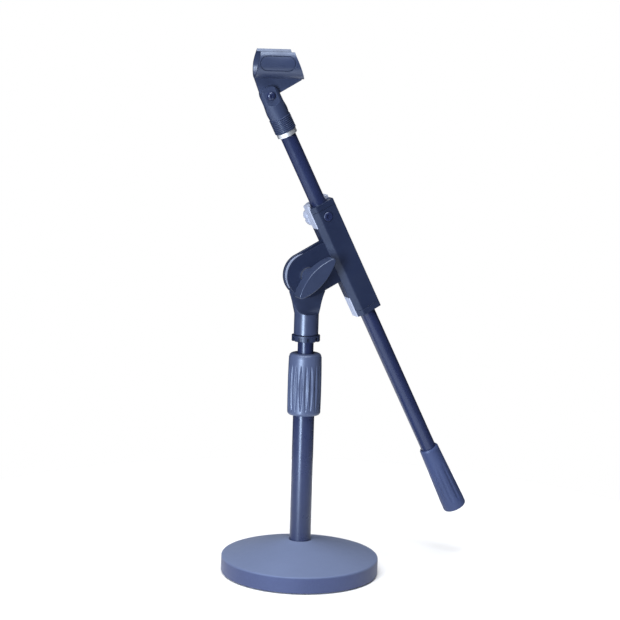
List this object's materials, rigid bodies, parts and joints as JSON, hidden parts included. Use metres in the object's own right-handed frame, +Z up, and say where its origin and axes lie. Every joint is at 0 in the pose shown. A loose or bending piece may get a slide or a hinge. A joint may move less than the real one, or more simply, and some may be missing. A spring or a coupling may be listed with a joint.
{
  "type": "desktop microphone stand",
  "caption": "Desktop microphone stand with a round cast base, telescoping mast with a height clutch, tilting boom and a snap-in microphone clip.",
  "frame": {"origin": "centre of the rubber pad under the base, on the table, on the mast axis", "axes": "+Z up along the mast, -Y towards the side with the tilt knob, -X the side the boom leans to at rest"},
  "size_m": [0.2665, 0.16, 0.5284],
  "materials": {
    "cast_paint": "fine-textured dark blue-grey powder coat on cast metal",
    "tube_paint": "smooth semi-gloss dark navy paint on steel tube",
    "dark_plastic": "moulded, lightly textured, semi-matt",
    "knob_plastic": "moulded, smooth, satin",
    "grey_nylon": "moulded light grey nylon, satin",
    "zinc_steel": "bright zinc plate",
    "brass": "turned",
    "rubber": "matt"
  },
  "bodies": {
    "stand": {"base_pad": "rubber", "base_casting": "cast_paint", "base_washer": "zinc_steel", "base_bolt": "zinc_steel", "foot_plug": "zinc_steel", "outer_tube": "tube_paint", "clutch_body": "zinc_steel"},
    "clutch_nut": {"clutch_grip": "dark_plastic"},
    "collet": {"clutch_collet": "grey_nylon"},
    "mast": {"inner_tube": "tube_paint", "tube_guide": "grey_nylon", "neck_stud": "zinc_steel", "lock_ring": "dark_plastic", "swivel_neck": "cast_paint", "front_friction_disc": "grey_nylon", "rear_friction_disc": "grey_nylon"},
    "boom_holder": {"holder_front": "dark_plastic", "holder_back": "dark_plastic", "upper_bush": "grey_nylon", "lower_bush": "grey_nylon", "upper_end_cap": "dark_plastic", "lower_end_cap": "dark_plastic", "upper_cap_screw": "zinc_steel", "lower_cap_screw": "zinc_steel", "pressure_screw": "tube_paint", "tilt_bolt": "zinc_steel"},
    "tilt_knob": {"wing_knob": "knob_plastic", "knob_insert": "brass", "knob_washer": "zinc_steel"},
    "boom_lock": {"boom_lock_knob": "grey_nylon", "lock_stud": "zinc_steel"},
    "liner": {"boom_liner": "grey_nylon"},
    "boom": {"boom_tube": "tube_paint", "tip_stud": "zinc_steel", "tip_ring": "zinc_steel", "boom_grip": "rubber"},
    "clip_base": {"clip_base": "dark_plastic", "thread_insert": "brass", "pivot_screw": "zinc_steel", "pivot_nut": "zinc_steel"},
    "clip_jaw": {"clip_jaw": "dark_plastic"}
  },
  "joints": [
    {"name": "clutch_turn", "type": "hinge", "parent": "stand", "child": "clutch_nut", "pos_m": [0, 0, 0.195], "axis": [0, 0, 1], "range_deg": [-15, 270]},
    {"name": "collet_turn", "type": "hinge", "parent": "stand", "child": "collet", "pos_m": [0, 0, 0.211], "axis": [0, 0, 1], "continuous": true},
    {"name": "mast_height", "type": "slide", "parent": "collet", "child": "mast", "axis": [0, 0, 1], "range_m": [-0.01, 0.115]},
    {"name": "boom_tilt", "type": "hinge", "parent": "mast", "child": "boom_holder", "pos_m": [-0.002, 0, 0.306], "axis": [0, 1, 0], "range_deg": [-75, 13]},
    {"name": "tilt_knob_turn", "type": "hinge", "parent": "boom_holder", "child": "tilt_knob", "pos_m": [-0.002, 0, 0.306], "axis": [0, -1, 0], "range_deg": [-20, 270]},
    {"name": "boom_lock_turn", "type": "hinge", "parent": "boom_holder", "child": "boom_lock", "pos_m": [0.01537, -0.0012, 0.36532], "axis": [0, 1, 0], "range_deg": [-20, 270]},
    {"name": "boom_roll", "type": "hinge", "parent": "boom_holder", "child": "liner", "pos_m": [0.03596, -0.0012, 0.32576], "axis": [-0.4617, 0, 0.887], "continuous": true},
    {"name": "boom_reach", "type": "slide", "parent": "liner", "child": "boom", "axis": [-0.4617, 0, 0.887], "range_m": [-0.055, 0.16]},
    {"name": "clip_screw_on", "type": "hinge", "parent": "boom", "child": "clip_base", "pos_m": [-0.0465, -0.0012, 0.48418], "axis": [-0.4617, 0, 0.887], "continuous": true},
    {"name": "jaw_tilt", "type": "hinge", "parent": "clip_base", "child": "clip_jaw", "pos_m": [-0.0465, -0.0012, 0.48418], "axis": [0.2146, 0.9703, 0.1117], "range_deg": [-85, 35]}
  ]
}
